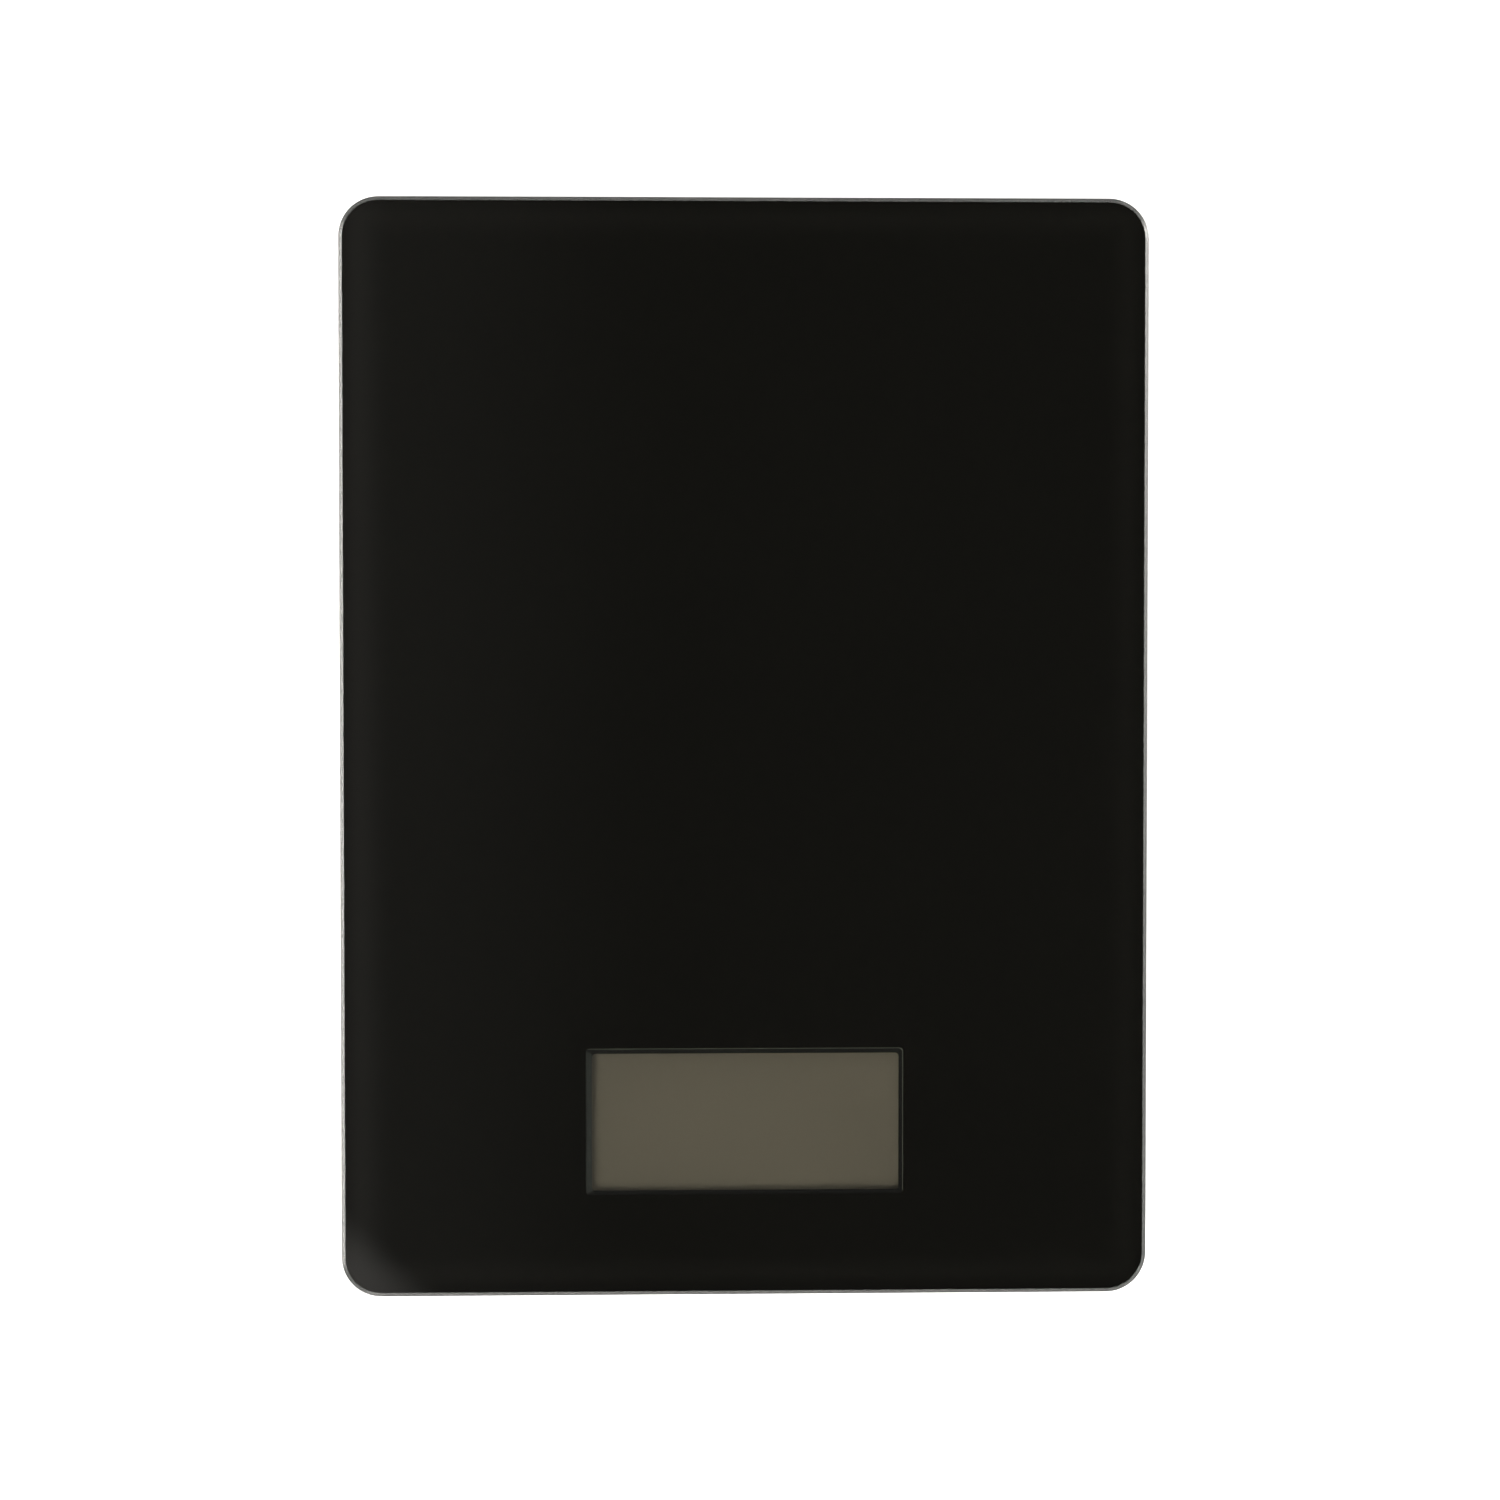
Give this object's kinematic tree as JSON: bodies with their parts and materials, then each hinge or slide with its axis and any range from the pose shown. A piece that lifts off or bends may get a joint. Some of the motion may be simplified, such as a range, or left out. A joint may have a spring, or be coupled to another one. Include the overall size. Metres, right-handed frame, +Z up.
{
  "type": "kitchen scale",
  "caption": "Slim flat kitchen scale with a black glass platform, a display window near the front edge, sprung sensing feet and a coin cell door underneath.",
  "frame": {"origin": "centre of the footprint on the surface the feet stand on", "axes": "+Z up, -Y towards the end with the display, +X to the user's right"},
  "size_m": [0.162, 0.22, 0.017],
  "materials": {
    "platform_glass": "polished, with a ground and polished bevel",
    "black_enamel": "black fired enamel seen through the glass",
    "foam": "black closed-cell foam tape",
    "tray_plastic": "fine spark-eroded texture, black ABS",
    "foot_plastic": "satin black ABS",
    "foot_rubber": "matt dark grey rubber",
    "zinc_steel": "bright zinc plating",
    "load_cell_steel": "stamped spring steel, nickel plated",
    "gauge_foil": "polyimide film",
    "silicone": "white silicone",
    "wire_red": "PVC insulation",
    "wire_black": "PVC insulation",
    "wire_white": "PVC insulation",
    "circuit_board": "green solder mask on glass-epoxy",
    "epoxy": "black epoxy",
    "chip_ceramic": "ceramic bodies with tinned ends",
    "spring_steel": "nickel-plated wire",
    "display_glass": "clear, unlit",
    "display_film": "satin polarizer",
    "reflector_film": "grey-green reflective polarizer",
    "zebra_rubber": "banded silicone connector",
    "frame_plastic": "black ABS",
    "button_plastic": "satin dark grey ABS",
    "cell_can_steel": "fine-brushed stainless steel",
    "cell_gasket": "dark blue polypropylene",
    "contact_bronze": "nickel-flashed phosphor bronze",
    "label_film": "blank silver-grey polyester label"
  },
  "bodies": {
    "scale_body": {"glass_platform": "platform_glass", "enamel_backing": "black_enamel", "adhesive_tape": "foam", "support_pads": "foam", "base_housing": "tray_plastic", "strain_gauges": "gauge_foil", "gauge_sealant": "silicone", "cell_screws": "zinc_steel", "cell_wires_red": "wire_red", "cell_wires_black": "wire_black", "cell_wires_white": "wire_white", "main_pcb": "circuit_board", "cob_chip": "epoxy", "smd_parts": "chip_ceramic", "pcb_screws": "zinc_steel", "touch_springs": "spring_steel", "lcd_front_glass": "display_glass", "lcd_rear_glass": "display_glass", "lcd_front_polarizer": "display_film", "lcd_rear_polarizer": "reflector_film", "zebra_strips": "zebra_rubber", "display_frame": "frame_plastic", "display_gasket": "foam", "display_screws": "zinc_steel", "unit_switch_body": "frame_plastic", "coin_cell_can": "cell_can_steel", "coin_cell_gasket": "cell_gasket", "coin_cell_cap": "cell_can_steel", "battery_contact_positive": "contact_bronze", "battery_contact_negative": "contact_bronze", "battery_wire_red": "wire_red", "battery_wire_black": "wire_black", "rating_label": "label_film", "load_cell_front_left": "load_cell_steel", "load_cell_front_right": "load_cell_steel", "load_cell_rear_left": "load_cell_steel", "load_cell_rear_right": "load_cell_steel"},
    "foot_front_left": {"foot_cup_front_left": "foot_plastic", "foot_pad_front_left": "foot_rubber", "foot_screw_front_left": "zinc_steel"},
    "foot_front_right": {"foot_cup_front_right": "foot_plastic", "foot_pad_front_right": "foot_rubber", "foot_screw_front_right": "zinc_steel"},
    "foot_rear_left": {"foot_cup_rear_left": "foot_plastic", "foot_pad_rear_left": "foot_rubber", "foot_screw_rear_left": "zinc_steel"},
    "foot_rear_right": {"foot_cup_rear_right": "foot_plastic", "foot_pad_rear_right": "foot_rubber", "foot_screw_rear_right": "zinc_steel"},
    "units_key": {"unit_button": "button_plastic", "unit_switch_plunger": "frame_plastic"},
    "door": {"battery_door": "tray_plastic"}
  },
  "joints": [
    {"name": "foot_front_left_press", "type": "slide", "parent": "scale_body", "child": "foot_front_left", "axis": [0, 0, 1], "range_m": [0, 0.0004], "deforming": ["load_cell_front_left"]},
    {"name": "foot_front_right_press", "type": "slide", "parent": "scale_body", "child": "foot_front_right", "axis": [0, 0, 1], "range_m": [0, 0.0004], "deforming": ["load_cell_front_right"]},
    {"name": "foot_rear_left_press", "type": "slide", "parent": "scale_body", "child": "foot_rear_left", "axis": [0, 0, 1], "range_m": [0, 0.0004], "deforming": ["load_cell_rear_left"]},
    {"name": "foot_rear_right_press", "type": "slide", "parent": "scale_body", "child": "foot_rear_right", "axis": [0, 0, 1], "range_m": [0, 0.0004], "deforming": ["load_cell_rear_right"]},
    {"name": "units_key_press", "type": "slide", "parent": "scale_body", "child": "units_key", "axis": [0, 0, 1], "range_m": [0, 0.0003], "stiffness_N_per_m": 4000},
    {"name": "door_hinge", "type": "hinge", "parent": "scale_body", "child": "door", "pos_m": [0, 0.034, 0.0029], "axis": [1, 0, 0], "range_deg": [0, 80]}
  ]
}
